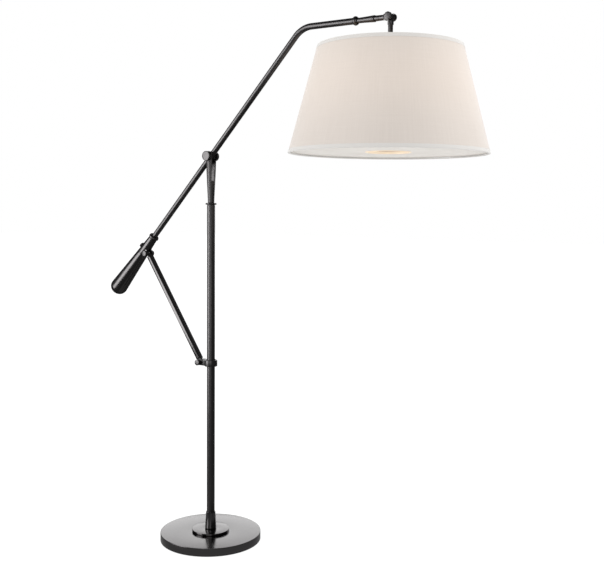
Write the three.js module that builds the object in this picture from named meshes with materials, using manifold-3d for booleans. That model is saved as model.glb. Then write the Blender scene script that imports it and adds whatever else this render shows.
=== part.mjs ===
// Adjustable arm floor lamp. Millimetres, +Z up, origin at the centre of the base's underside.
// +X is the way the arm reaches, and every joint of the arm turns about an axis along Y.
import * as THREE from 'three';
import { mergeVertices } from 'three/addons/utils/BufferGeometryUtils.js';
import Module from 'manifold-3d';

const wasm = await Module();
wasm.setup();

// ---- Driving dimensions -------------------------------------------------------------------

const GAP = 0.3; // between pieces that touch
const LARGE_SIDES = 60;
const SHADE_SIDES = 44;
const TUBE_SIDES = 20;
const SMALL_SIDES = 14;
const CABLE_SIDES = 6;

// Stand
const BASE_RADIUS = 177.8;
const BASE_TOP = 30;
const PAD_THICKNESS = 1;
const PAD_RADIUS = 172;
const RECESS_RADIUS = 45;
const RECESS_DEPTH = 14;
const STEP_RADIUS = 65.5;
const STEP_HEIGHT = 8;
const FERRULE_TOP = 100;
const POLE_RADIUS = 14;
const POLE_WALL = 2;
const POLE_TOP = 1189;
const TOP_RING_RADIUS = 19.4;
const TOP_RING_HEIGHT = 6;
const STUD_RADIUS = 8;
const CABLE_RADIUS = 2.6;

// Arm
const PIVOT_HEIGHT = 1356;
const ARM_ANGLE = THREE.MathUtils.degToRad(47);
const ARM_RADIUS = 10.1;
const ARM_WALL = 1.5;
const ARM_TO_BEND = 544;
const BEND_RADIUS = 82;
const REACH = 688; // from the pole's axis to the shade's axis
const TUBE_TAIL = 636; // length of tube behind the pivot
const AXLE_RADIUS = 5;
const FORK_SLOT = 22;
const FORK_CHEEK = 15.2; // half width between the flats that the clamp knob bears on
const FORK_END_RADIUS = 17;
const PIVOT_KNOB_RADIUS = 16.5;
const PIVOT_KNOB_FACE = 31;
const PIVOT_CAP_FACE = 26;

// Counterweight and its sleeve, measured back along the arm from the pivot
const SLEEVE_START = 396;
const SLEEVE_END = 470;
const WEIGHT_START_RADIUS = 15.6;
const WEIGHT_TAPER = 0.0625;
const WEIGHT_SHOULDER = 648;
const WEIGHT_END = 677.5;
const LUG_STATION = 452;
const LUG_OFFSET = 22;

// Strut and the collar that slides on the pole
const COLLAR_HEIGHT = 635;
const COLLAR_TALL = 22;
const COLLAR_RADIUS = 22.4;
const COLLAR_CLEARANCE = 2.7;
const COLLAR_PIN_X = -43;
const EAR_RADIUS = 10;
const EAR_INNER = 6.2;
const EAR_OUTER = 15;
const STRUT_WIDTH = 24;
const STRUT_DEPTH = 12;
const STRUT_SHOULDER = 12.5;
const STRUT_PIN_RADIUS = 3;
const STRUT_CAP_FACE = 27;
const STRUT_FAR_FACE = 19.5;

// Arm's end joint and the shade's stem
const END_PIN_RADIUS = 3;
const END_KNOB_RADIUS = 12;
const END_KNOB_FACE = 22;
const END_CAP_FACE = 19;
const END_FORK_HALF_WIDTH = 13;
const END_SLOT = 12.4;
const END_FORK_RADIUS = 9;
const NECK_START = 568;
const NECK_END = 636;
const RING_HALF_LENGTH = 7;
const STEM_RADIUS = 7.6;
const STEM_BOTTOM = 1649;

// Shade
const SHADE_BOTTOM = 1346.8;
const SHADE_TOP = 1666.8;
const SHADE_BOTTOM_RADIUS = 304.8;
const SHADE_TOP_RADIUS = 219;
const SHADE_WALL = 1.6;
const TRIM_HEIGHT = 11;
const TRIM_THICKNESS = 0.8;
const WIRE_RADIUS = 2;
const DIFFUSER_HOLE = 66;
const SOCKET_RADIUS = 19;
const BULB_RADIUS = 33.5;
const BULB_BOTTOM = 1452;

// ---- Finishes -----------------------------------------------------------------------------

const finish = (color, roughness, metalness) =>
  new THREE.MeshStandardMaterial({ color, roughness, metalness });
const bronze = finish(0x1d1916, 0.38, 0.9);
const steel = finish(0x9a9c9f, 0.35, 1);
const brass = finish(0xb08d4f, 0.35, 1);
const felt = finish(0x1b1b1c, 0.95, 0);
const rubber = finish(0x161616, 0.8, 0);
const nylon = finish(0x2b2b2d, 0.6, 0);
const linen = finish(0xe9e3d9, 0.9, 0);
const acrylic = finish(0xf2ede2, 0.4, 0);
const glass = finish(0xfff3dc, 0.2, 0);
const champagne = finish(0xe1d1bb, 0.45, 0.2);

// ---- Shaping tools ------------------------------------------------------------------------

// The geometry as a solid that can be joined and cut.
function solid(geometry) {
  const bare = new THREE.BufferGeometry();
  const loose = geometry.index ? geometry.toNonIndexed() : geometry;
  bare.setAttribute('position', loose.getAttribute('position'));
  const merged = mergeVertices(bare, 1e-4);
  return new wasm.Manifold(new wasm.Mesh({
    numProp: 3,
    vertProperties: merged.getAttribute('position').array,
    triVerts: new Uint32Array(merged.index.array),
  }));
}

function geometryOf(body) {
  const mesh = body.getMesh();
  const geometry = new THREE.BufferGeometry();
  geometry.setAttribute('position', new THREE.BufferAttribute(mesh.vertProperties, 3));
  geometry.setIndex(new THREE.BufferAttribute(mesh.triVerts, 1));
  return geometry;
}

function cut(geometry, ...tools) {
  return geometryOf(tools.reduce((body, tool) => body.subtract(solid(tool)), solid(geometry)));
}

function join(geometry, ...others) {
  return geometryOf(others.reduce((body, other) => body.add(solid(other)), solid(geometry)));
}

function common(geometry, other) {
  return geometryOf(solid(geometry).intersect(solid(other)));
}

// A turned piece: the outline's points are [radius, distance along the axis], walked so that the
// metal is on the left. The axis is 'x', 'y', 'z' or '-y'.
function turned(outline, axis = 'z', sides = SMALL_SIDES) {
  const points = outline.map(([radius, along]) => new THREE.Vector2(radius, along));
  const geometry = new THREE.LatheGeometry(points, sides);
  if (axis === 'x') geometry.rotateZ(-Math.PI / 2);
  if (axis === 'z') geometry.rotateX(Math.PI / 2);
  if (axis === '-y') geometry.rotateX(Math.PI);
  return geometry;
}

// A plain bar of round section between two stations on its axis, with its edges broken.
function rod(radius, low, high, axis, sides, edge = 0) {
  const outline = edge
    ? [[0, low], [radius - edge, low], [radius, low + edge],
      [radius, high - edge], [radius - edge, high], [0, high]]
    : [[0, low], [radius, low], [radius, high], [0, high]];
  return turned(outline, axis, sides);
}

function ring(inner, outer, low, high, axis, sides, edge = 0) {
  const outline = edge
    ? [[inner, low], [outer - edge, low], [outer, low + edge],
      [outer, high - edge], [outer - edge, high], [inner, high], [inner, low]]
    : [[inner, low], [outer, low], [outer, high], [inner, high], [inner, low]];
  return turned(outline, axis, sides);
}

// Points on an arc of an ellipse in an outline, from one angle to another in degrees.
function arc(centre, size, from, to, steps) {
  const points = [];
  for (let i = 0; i <= steps; i += 1) {
    const angle = THREE.MathUtils.degToRad(from + ((to - from) * i) / steps);
    points.push([centre[0] + size[0] * Math.cos(angle), centre[1] + size[1] * Math.sin(angle)]);
  }
  return points;
}

// A plate whose outline lies in the X-Z plane, between two stations along Y.
function plate(outline, low, high) {
  const shape = new THREE.Shape(outline.map(([x, z]) => new THREE.Vector2(x, z)));
  const geometry = new THREE.ExtrudeGeometry(shape, { depth: high - low, bevelEnabled: false });
  geometry.rotateX(Math.PI / 2);
  geometry.translate(0, high, 0);
  return geometry;
}

function block(low, high) {
  const size = high.map((value, i) => value - low[i]);
  const geometry = new THREE.BoxGeometry(...size);
  geometry.translate(...high.map((value, i) => (value + low[i]) / 2));
  return geometry;
}

// A round tube or cord along a curve. A bore of 0 makes it solid.
function tubeAlong(curve, radius, bore, steps, sides) {
  const circle = (r) => arc([0, 0], [r, r], 0, 360, sides)
    .slice(0, sides)
    .map(([x, y]) => new THREE.Vector2(x, y));
  const section = new THREE.Shape(circle(radius));
  if (bore) section.holes.push(new THREE.Path(circle(bore).reverse()));
  return new THREE.ExtrudeGeometry(section, { steps, extrudePath: curve, bevelEnabled: false });
}

// Straight, bent and straight again, with its corner rounded.
class BentLine extends THREE.Curve {
  constructor(start, corner, end, radius) {
    super();
    const incoming = corner.clone().sub(start).normalize();
    const outgoing = end.clone().sub(corner).normalize();
    this.turn = incoming.angleTo(outgoing);
    this.cutBack = radius * Math.tan(this.turn / 2);
    this.bendStart = corner.clone().addScaledVector(incoming, -this.cutBack);
    this.start = start;
    this.incoming = incoming;
    this.outgoing = outgoing;
    this.radius = radius;
    this.inward = outgoing.clone().addScaledVector(incoming, -Math.cos(this.turn)).normalize();
    this.firstLength = start.distanceTo(this.bendStart);
    this.bendLength = radius * this.turn;
    this.lastLength = corner.distanceTo(end) - this.cutBack;
    this.bendSteps = 8;
  }

  // The bend gets most of the steps, because the straight runs need only their two ends.
  getPoint(t, target = new THREE.Vector3()) {
    const step = t * (this.bendSteps + 2);
    const bend = THREE.MathUtils.clamp((step - 1) / this.bendSteps, 0, 1);
    const before = THREE.MathUtils.clamp(step, 0, 1);
    const after = THREE.MathUtils.clamp(step - 1 - this.bendSteps, 0, 1);
    const angle = this.turn * bend;
    target.copy(this.start).addScaledVector(this.incoming, this.firstLength * before);
    target.addScaledVector(this.incoming, this.radius * Math.sin(angle));
    target.addScaledVector(this.inward, this.radius * (1 - Math.cos(angle)));
    return target.addScaledVector(this.outgoing, this.lastLength * after);
  }

  getPointAt(u, target) {
    return this.getPoint(u, target);
  }

  getTangentAt(u, target = new THREE.Vector3()) {
    const step = u * (this.bendSteps + 2);
    const angle = this.turn * THREE.MathUtils.clamp((step - 1) / this.bendSteps, 0, 1);
    target.copy(this.incoming).multiplyScalar(Math.cos(angle));
    return target.addScaledVector(this.inward, Math.sin(angle));
  }
}

function part(group, name, geometry, material) {
  const mesh = new THREE.Mesh(geometry, material);
  mesh.name = name;
  group.add(mesh);
  return mesh;
}

// ---- Groups -------------------------------------------------------------------------------

const lamp = new THREE.Group();

// Along the arm: local +X runs up the arm from the pivot, and local +Z is square to it, upwards.
const arm = new THREE.Group();
arm.position.set(0, 0, PIVOT_HEIGHT);
arm.rotation.y = -ARM_ANGLE;
lamp.add(arm);

// Past the bend the arm runs level again: local +X is the row's +X, from the pole's axis.
const TOP_HEIGHT = PIVOT_HEIGHT + ARM_TO_BEND * Math.sin(ARM_ANGLE);
const armTop = new THREE.Group();
armTop.position.set(0, 0, TOP_HEIGHT);
lamp.add(armTop);

const collar = new THREE.Group();
collar.position.set(0, 0, COLLAR_HEIGHT);
lamp.add(collar);

const LUG_X = -LUG_STATION * Math.cos(ARM_ANGLE) + LUG_OFFSET * Math.sin(ARM_ANGLE);
const LUG_Z = PIVOT_HEIGHT - LUG_STATION * Math.sin(ARM_ANGLE) - LUG_OFFSET * Math.cos(ARM_ANGLE);
const STRUT_LENGTH = Math.hypot(LUG_X - COLLAR_PIN_X, LUG_Z - COLLAR_HEIGHT);
const strut = new THREE.Group();
strut.position.set(COLLAR_PIN_X, 0, COLLAR_HEIGHT);
strut.rotation.y = -Math.atan2(LUG_Z - COLLAR_HEIGHT, LUG_X - COLLAR_PIN_X);
lamp.add(strut);

const shade = new THREE.Group();
shade.position.set(REACH, 0, 0);
lamp.add(shade);

// ---- Stand --------------------------------------------------------------------------------

const PLATE_BOTTOM = PAD_THICKNESS + GAP;
const STEP_BOTTOM = BASE_TOP + GAP;
const STEP_TOP = STEP_BOTTOM + STEP_HEIGHT;
const RECESS_TOP = PLATE_BOTTOM + RECESS_DEPTH;
const POLE_BOTTOM = STEP_TOP + GAP;
const POLE_BORE = POLE_RADIUS - POLE_WALL;
const STUD_BORE = 5;
const STUD_HOLE = STUD_RADIUS + 0.5;
const NUT_BOTTOM = PLATE_BOTTOM + 1.5;
const WASHER_THICKNESS = 2;
const WASHER_RADIUS = 20;
const NUT_RADIUS = 15;
const PLUG_LENGTH = 40;
const CORD_SLOT_HALF = 5;
const GLAND_LENGTH = 14;

function makeBase() {
  part(lamp, 'foot_pad', rod(PAD_RADIUS, 0, PAD_THICKNESS, 'z', SHADE_SIDES), felt);
  const rimEdge = 1.6;
  const plateBlank = turned([
    [STUD_HOLE, RECESS_TOP],
    [RECESS_RADIUS, RECESS_TOP],
    [RECESS_RADIUS, PLATE_BOTTOM],
    [BASE_RADIUS - rimEdge, PLATE_BOTTOM],
    [BASE_RADIUS, PLATE_BOTTOM + rimEdge],
    [BASE_RADIUS, BASE_TOP - rimEdge],
    [BASE_RADIUS - rimEdge, BASE_TOP],
    [STUD_HOLE, BASE_TOP],
    [STUD_HOLE, RECESS_TOP],
  ], 'z', LARGE_SIDES);
  const slotTop = PLATE_BOTTOM + 2 * CORD_SLOT_HALF;
  const cordSlot = block(
    [-BASE_RADIUS - 5, -CORD_SLOT_HALF, PLATE_BOTTOM - 5],
    [-RECESS_RADIUS + 5, CORD_SLOT_HALF, slotTop],
  );
  part(lamp, 'base_plate', cut(plateBlank, cordSlot), bronze);
  const glandHalf = CORD_SLOT_HALF - GAP;
  const glandBlank = block(
    [-BASE_RADIUS + 0.8, -glandHalf, PLATE_BOTTOM + GAP],
    [-BASE_RADIUS + 0.8 + GLAND_LENGTH, glandHalf, slotTop - GAP],
  );
  const cordBore = rod(3.4, -BASE_RADIUS - 1, -BASE_RADIUS + GLAND_LENGTH + 2, 'x', SMALL_SIDES);
  cordBore.translate(0, 0, PLATE_BOTTOM + CORD_SLOT_HALF);
  part(lamp, 'cord_gland', cut(glandBlank, cordBore), rubber);
  part(lamp, 'base_step', ring(STUD_HOLE, STEP_RADIUS, STEP_BOTTOM, STEP_TOP, 'z', SHADE_SIDES, 1), bronze);
}

function makePoleFixings() {
  const washerBottom = RECESS_TOP - GAP - WASHER_THICKNESS;
  part(lamp, 'base_washer', ring(STUD_HOLE, WASHER_RADIUS, washerBottom, RECESS_TOP - GAP, 'z'), steel);
  const nutBlank = rod(NUT_RADIUS, NUT_BOTTOM, washerBottom - GAP, 'z', 6);
  const nutBore = rod(STUD_HOLE, NUT_BOTTOM - 5, washerBottom + 5, 'z');
  part(lamp, 'base_nut', cut(nutBlank, nutBore), steel);
  const studTop = POLE_BOTTOM + PLUG_LENGTH + 4;
  part(lamp, 'pole_stud', ring(STUD_BORE, STUD_RADIUS, NUT_BOTTOM - 1, studTop, 'z'), steel);
  const plugTop = POLE_BOTTOM + PLUG_LENGTH;
  part(lamp, 'pole_plug', ring(STUD_HOLE, POLE_BORE - GAP, POLE_BOTTOM, plugTop, 'z', TUBE_SIDES), steel);
}

function makePole() {
  const poleShape = ring(POLE_BORE, POLE_RADIUS, POLE_BOTTOM, POLE_TOP, 'z', TUBE_SIDES);
  part(lamp, 'pole_tube', poleShape, bronze);
  const bore = POLE_RADIUS + GAP;
  part(lamp, 'pole_ferrule', turned([
    [bore, POLE_BOTTOM],
    [18.8, POLE_BOTTOM],
    [19.6, POLE_BOTTOM + 3],
    [18.4, POLE_BOTTOM + 22],
    [17.2, FERRULE_TOP - 12],
    [16.8, FERRULE_TOP - 1.5],
    [16.0, FERRULE_TOP],
    [bore, FERRULE_TOP],
    [bore, POLE_BOTTOM],
  ], 'z', TUBE_SIDES), bronze);
  const ringLow = POLE_TOP + GAP;
  const ringMiddle = [TOP_RING_RADIUS - TOP_RING_HEIGHT / 2, ringLow + TOP_RING_HEIGHT / 2];
  const half = TOP_RING_HEIGHT / 2;
  const inner = SPIGOT_RADIUS + GAP;
  part(lamp, 'pole_top_ring', turned([
    [inner, ringLow],
    ...arc(ringMiddle, [half, half], -90, 90, 6),
    [inner, ringLow + TOP_RING_HEIGHT],
    [inner, ringLow],
  ], 'z', TUBE_SIDES), bronze);
  const bushShape = ring(SPIGOT_RADIUS + GAP, POLE_BORE - GAP, SPIGOT_BOTTOM, POLE_TOP, 'z', TUBE_SIDES);
  part(lamp, 'swivel_bush', bushShape, nylon);
  part(lamp, 'pole_cable', rod(CABLE_RADIUS, NUT_BOTTOM, SPIGOT_BOTTOM - 6, 'z', CABLE_SIDES), rubber);
}

// ---- Fork on the pole's top ----------------------------------------------------------------

const SPIGOT_RADIUS = 9.6;
const SPIGOT_BOTTOM = 1129;
const FORK_BOTTOM = POLE_TOP + TOP_RING_HEIGHT + 2 * GAP;
const SLOT_BOTTOM = 1271;
const WASHER_SEAT_RADIUS = 10.8;
const FRICTION_WASHER = 2.4;

function makeFork() {
  const forkTop = PIVOT_HEIGHT + FORK_END_RADIUS;
  const blank = turned([
    [0, SPIGOT_BOTTOM],
    [SPIGOT_RADIUS, SPIGOT_BOTTOM],
    [SPIGOT_RADIUS, FORK_BOTTOM],
    [11.2, FORK_BOTTOM],
    [11.6, FORK_BOTTOM + 12],
    [13.0, FORK_BOTTOM + 45],
    [14.6, SLOT_BOTTOM],
    [16.2, SLOT_BOTTOM + 36],
    [FORK_END_RADIUS, PIVOT_HEIGHT - 12],
    [FORK_END_RADIUS, forkTop],
    [0, forkTop],
  ], 'z', TUBE_SIDES);
  // Seen along the axle, the fork's end is round.
  const side = plate([
    [-30, SPIGOT_BOTTOM - 5],
    [30, SPIGOT_BOTTOM - 5],
    [30, PIVOT_HEIGHT - 30],
    ...arc([0, PIVOT_HEIGHT], [FORK_END_RADIUS, FORK_END_RADIUS], 0, 180, 16),
    [-30, PIVOT_HEIGHT - 30],
  ], -30, 30);
  const half = FORK_SLOT / 2;
  const slotShape = [[-30, SLOT_BOTTOM], [30, SLOT_BOTTOM], [30, forkTop + 5], [-30, forkTop + 5]];
  const slot = plate(slotShape, -half, half);
  const axleHole = rod(AXLE_RADIUS + GAP, -30, 30, 'y');
  const seat = rod(WASHER_SEAT_RADIUS, -half - FRICTION_WASHER, half + FRICTION_WASHER, 'y');
  axleHole.translate(0, 0, PIVOT_HEIGHT);
  seat.translate(0, 0, PIVOT_HEIGHT);
  const cheekFlats = [-1, 1].map((way) => {
    const flat = rod(PIVOT_KNOB_RADIUS + 1, FORK_CHEEK, 30, way > 0 ? 'y' : '-y', TUBE_SIDES);
    flat.translate(0, 0, PIVOT_HEIGHT);
    return flat;
  });
  const cableHole = rod(CABLE_RADIUS + 1.4, SPIGOT_BOTTOM - 5, SLOT_BOTTOM + 5, 'z');
  const body = cut(common(blank, side), slot, axleHole, seat, cableHole, ...cheekFlats);
  part(lamp, 'fork', body, bronze);
}

// A round knob or cap on a pin along Y, with a blind bore for the pin's end.
function capShape(radius, seat, face, bore, boreEnd, axis, sides = SMALL_SIDES) {
  const edge = 1.2;
  return turned([
    [bore, seat],
    [radius - edge, seat],
    [radius, seat + edge],
    [radius, face - edge],
    [radius - edge, face],
    [0, face],
    [0, boreEnd],
    [bore, boreEnd],
    [bore, seat],
  ], axis, sides);
}

function makePivot() {
  const seat = FORK_CHEEK + GAP;
  const depth = 4;
  const bore = AXLE_RADIUS + GAP;
  const group = new THREE.Group();
  group.position.z = PIVOT_HEIGHT;
  lamp.add(group);
  const nearEnd = PIVOT_KNOB_FACE - depth;
  const farEnd = PIVOT_CAP_FACE - depth;
  part(group, 'pivot_axle', rod(AXLE_RADIUS, -nearEnd + GAP, farEnd - GAP, 'y'), steel);
  const washerLow = FORK_SLOT / 2 + FRICTION_WASHER - 0.2;
  const washerHigh = ARM_RADIUS + GAP;
  part(group, 'pivot_washer_near', ring(bore, 10.4, washerHigh, washerLow, '-y'), nylon);
  part(group, 'pivot_washer_far', ring(bore, 10.4, washerHigh, washerLow, 'y'), nylon);
  const knob = capShape(PIVOT_KNOB_RADIUS, seat, PIVOT_KNOB_FACE, bore, nearEnd, '-y', TUBE_SIDES);
  part(group, 'pivot_knob', knob, bronze);
  const cap = capShape(PIVOT_KNOB_RADIUS - 0.7, seat, PIVOT_CAP_FACE, bore, farEnd, 'y', TUBE_SIDES);
  part(group, 'pivot_cap', cap, bronze);
}

// ---- Arm ----------------------------------------------------------------------------------

function makeArmTube() {
  const local = (x, z) => new THREE.Vector3(x, 0, z).applyAxisAngle(
    new THREE.Vector3(0, 1, 0),
    ARM_ANGLE,
  );
  const corner = new THREE.Vector3(ARM_TO_BEND, 0, 0);
  const levelRun = local(NECK_START - 1 - ARM_TO_BEND * Math.cos(ARM_ANGLE), 0);
  const tail = new THREE.Vector3(-TUBE_TAIL, 0, 0);
  const line = new BentLine(tail, corner, corner.clone().add(levelRun), BEND_RADIUS);
  const steps = line.bendSteps + 2;
  const bore = ARM_RADIUS - ARM_WALL;
  const tube = tubeAlong(line, ARM_RADIUS, bore, steps, TUBE_SIDES);
  const bushHole = rod(HUB_BUSH_RADIUS + GAP, -20, 20, 'y');
  part(arm, 'arm_tube', cut(tube, bushHole), bronze);
  part(arm, 'arm_hub_bush', ring(AXLE_RADIUS + GAP, HUB_BUSH_RADIUS, -9.9, 9.9, 'y'), steel);

  const cableEnd = corner.clone().add(local(NECK_START + 4 - ARM_TO_BEND * Math.cos(ARM_ANGLE), 0));
  const cableStart = new THREE.Vector3(HUB_BUSH_RADIUS + 6, 0, 0);
  const cableLine = new BentLine(cableStart, corner, cableEnd, BEND_RADIUS);
  part(arm, 'arm_cable', tubeAlong(cableLine, CABLE_RADIUS, 0, steps, CABLE_SIDES), rubber);
}

const HUB_BUSH_RADIUS = 6.4;
const NECK_BORE = CABLE_RADIUS + 1;
const FORK_TENON = 6;
const FORK_TENON_LENGTH = 18;

function makeArmEnd() {
  const middle = NECK_START - 0.5;
  const beadBore = ARM_RADIUS + GAP;
  part(armTop, 'arm_ring', turned([
    [beadBore, middle - RING_HALF_LENGTH],
    [ARM_RADIUS + 1, middle - RING_HALF_LENGTH],
    ...arc([ARM_RADIUS + 1, middle], [3, RING_HALF_LENGTH - 1.5], -90, 90, 6),
    [ARM_RADIUS + 1, middle + RING_HALF_LENGTH],
    [beadBore, middle + RING_HALF_LENGTH],
    [beadBore, middle - RING_HALF_LENGTH],
  ], 'x', TUBE_SIDES), bronze);
  const tenonRadius = ARM_RADIUS - ARM_WALL - GAP;
  const tenonBore = FORK_TENON + GAP;
  const tenonBottom = NECK_END - FORK_TENON_LENGTH - 1;
  part(armTop, 'arm_neck', turned([
    [NECK_BORE, NECK_START - 30],
    [tenonRadius, NECK_START - 30],
    [tenonRadius, NECK_START],
    [8.4, NECK_START + 11],
    [8.8, NECK_START + 28],
    [9.6, NECK_START + 48],
    [10.2, NECK_END - 8],
    [10.2, NECK_END - 1],
    [9.6, NECK_END],
    [tenonBore, NECK_END],
    [tenonBore, tenonBottom],
    [NECK_BORE, tenonBottom],
    [NECK_BORE, NECK_START - 30],
  ], 'x', TUBE_SIDES), bronze);
  makeEndFork();
}

function makeEndFork() {
  const start = NECK_END + GAP;
  const body = plate([
    [start, -7.6],
    [REACH - 14, -8.4],
    ...arc([REACH, 0], [END_FORK_RADIUS, END_FORK_RADIUS], -90, 90, 12),
    [REACH - 14, 8.4],
    [start, 7.6],
  ], -END_FORK_HALF_WIDTH, END_FORK_HALF_WIDTH);
  // Rounded back to the neck's width where it joins the neck.
  const outline = new THREE.Shape([
    [start, -7.8], [start + 10, -10], [REACH - 24, -END_FORK_HALF_WIDTH],
    [REACH + 20, -END_FORK_HALF_WIDTH], [REACH + 20, END_FORK_HALF_WIDTH],
    [REACH - 24, END_FORK_HALF_WIDTH], [start + 10, 10], [start, 7.8],
  ].map(([x, y]) => new THREE.Vector2(x, y)));
  const plan = new THREE.ExtrudeGeometry(outline, { depth: 40, bevelEnabled: false });
  plan.translate(0, 0, -20);
  const tenon = rod(FORK_TENON, start - FORK_TENON_LENGTH, start + 4, 'x');
  const half = END_SLOT / 2;
  const slot = block([REACH - 18, -half, -20], [REACH + 20, half, 20]);
  const pinHole = rod(END_PIN_RADIUS + GAP, -20, 20, 'y');
  pinHole.translate(REACH, 0, 0);
  const cableBore = rod(NECK_BORE, start - 30, REACH, 'x', SMALL_SIDES);
  part(armTop, 'end_fork', cut(join(common(body, plan), tenon), slot, pinHole, cableBore), bronze);

  const group = new THREE.Group();
  group.position.x = REACH;
  armTop.add(group);
  const seat = END_FORK_HALF_WIDTH + GAP;
  const bore = END_PIN_RADIUS + GAP;
  const nearEnd = END_KNOB_FACE - 3;
  const farEnd = END_CAP_FACE - 2;
  part(group, 'end_pin', rod(END_PIN_RADIUS, -nearEnd + GAP, farEnd - GAP, 'y'), steel);
  const knob = capShape(END_KNOB_RADIUS, seat, END_KNOB_FACE, bore, nearEnd, '-y');
  part(group, 'end_knob', knob, bronze);
  part(group, 'end_cap', capShape(END_KNOB_RADIUS, seat, END_CAP_FACE, bore, farEnd, 'y'), bronze);
}

// ---- Counterweight ------------------------------------------------------------------------

const weightRadius = (station) =>
  WEIGHT_START_RADIUS + WEIGHT_TAPER * (station - SLEEVE_START);

// The rounded ear on one side of a strut's tongue, square to Y, reaching back to where it is held.
function earShape(pin, root, halfRoot, low, high) {
  const [pinX, pinZ] = pin;
  const way = Math.atan2(root[1] - pinZ, root[0] - pinX);
  const turn = THREE.MathUtils.radToDeg(way);
  const across = [-Math.sin(way) * halfRoot, Math.cos(way) * halfRoot];
  return plate([
    [root[0] - across[0], root[1] - across[1]],
    [root[0] + across[0], root[1] + across[1]],
    ...arc(pin, [EAR_RADIUS, EAR_RADIUS], turn + 90, turn + 270, 12),
  ], low, high);
}

function makeWeight() {
  const bore = ARM_RADIUS + GAP;
  const pin = [-LUG_STATION, -LUG_OFFSET];
  const sleeve = turned([
    [bore, -SLEEVE_END],
    [weightRadius(SLEEVE_END), -SLEEVE_END],
    [WEIGHT_START_RADIUS, -SLEEVE_START],
    [bore, -SLEEVE_START],
    [bore, -SLEEVE_END],
  ], 'x', TUBE_SIDES);
  const boreTool = rod(bore, -SLEEVE_END - 10, -SLEEVE_START + 10, 'x', TUBE_SIDES);
  const root = [-LUG_STATION, -4];
  const ears = [[-EAR_OUTER, -EAR_INNER], [EAR_INNER, EAR_OUTER]].map(
    ([low, high]) => earShape(pin, root, EAR_RADIUS, low, high),
  );
  const pocket = rod(TONGUE_RADIUS + 0.8, -EAR_INNER, EAR_INNER, 'y');
  const pinHole = rod(STRUT_PIN_RADIUS + GAP, -20, 20, 'y');
  [pocket, pinHole].forEach((tool) => tool.translate(pin[0], 0, pin[1]));
  const screwHole = rod(SCREW_RADIUS + GAP, 5, 30, 'z');
  screwHole.translate(-LUG_STATION, 0, 0);
  const body = cut(join(sleeve, ...ears), boreTool, pocket, pinHole, screwHole);
  part(arm, 'weight_sleeve', body, bronze);

  const ringLow = -SLEEVE_START + GAP;
  const ringHigh = ringLow + 11;
  part(arm, 'sleeve_ring', turned([
    [bore, ringLow],
    [15.2, ringLow],
    ...arc([15.2, (ringLow + ringHigh) / 2], [3.2, 4.5], -90, 90, 6),
    [13.6, ringHigh],
    [bore, ringHigh],
    [bore, ringLow],
  ], 'x', TUBE_SIDES), bronze);

  const start = -SLEEVE_END - GAP;
  const boreBottom = -TUBE_TAIL - 1.5;
  const dome = [weightRadius(WEIGHT_SHOULDER), WEIGHT_END - WEIGHT_SHOULDER];
  part(arm, 'counterweight', turned([
    ...arc([0, -WEIGHT_SHOULDER], dome, -90, 0, 9).map(([r, x]) => [Math.max(r, 0), x]),
    [weightRadius(-start), start],
    [bore, start],
    [bore, boreBottom],
    [0, boreBottom],
  ], 'x', TUBE_SIDES), bronze);

  const surface = weightRadius(LUG_STATION + SCREW_HEAD_RADIUS) + GAP;
  const screw = turned([
    [0, ARM_RADIUS + GAP],
    [SCREW_RADIUS, ARM_RADIUS + GAP],
    [SCREW_RADIUS, surface],
    [SCREW_HEAD_RADIUS - 1, surface],
    [SCREW_HEAD_RADIUS, surface + 1],
    [SCREW_HEAD_RADIUS, surface + 4],
    [SCREW_HEAD_RADIUS - 3, surface + 6.4],
    [0, surface + 6.8],
  ], 'z');
  screw.translate(-LUG_STATION, 0, 0);
  part(arm, 'sleeve_screw', screw, bronze);
  makeStrutPin(arm, 'upper', pin);
}

const SCREW_RADIUS = 3;
const SCREW_HEAD_RADIUS = 9.5;
const TONGUE_RADIUS = 7.5;

// The pin of one end of the strut, with a tall cap on the near side and a flat one behind.
function makeStrutPin(holder, which, [x, z]) {
  const group = new THREE.Group();
  group.position.set(x, 0, z);
  holder.add(group);
  const seat = EAR_OUTER + GAP;
  const bore = STRUT_PIN_RADIUS + GAP;
  const nearEnd = STRUT_CAP_FACE - 4;
  const farEnd = STRUT_FAR_FACE - 1.4;
  const pinShape = rod(STRUT_PIN_RADIUS, -nearEnd + GAP, farEnd - GAP, 'y');
  part(group, which + '_strut_pin', pinShape, steel);
  const nearCap = capShape(EAR_RADIUS, seat, STRUT_CAP_FACE, bore, nearEnd, '-y');
  part(group, which + '_strut_cap', nearCap, bronze);
  const farCap = capShape(EAR_RADIUS, seat, STRUT_FAR_FACE, bore, farEnd, 'y');
  part(group, which + '_strut_nut', farCap, bronze);
}

// ---- Strut and collar ---------------------------------------------------------------------

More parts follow.
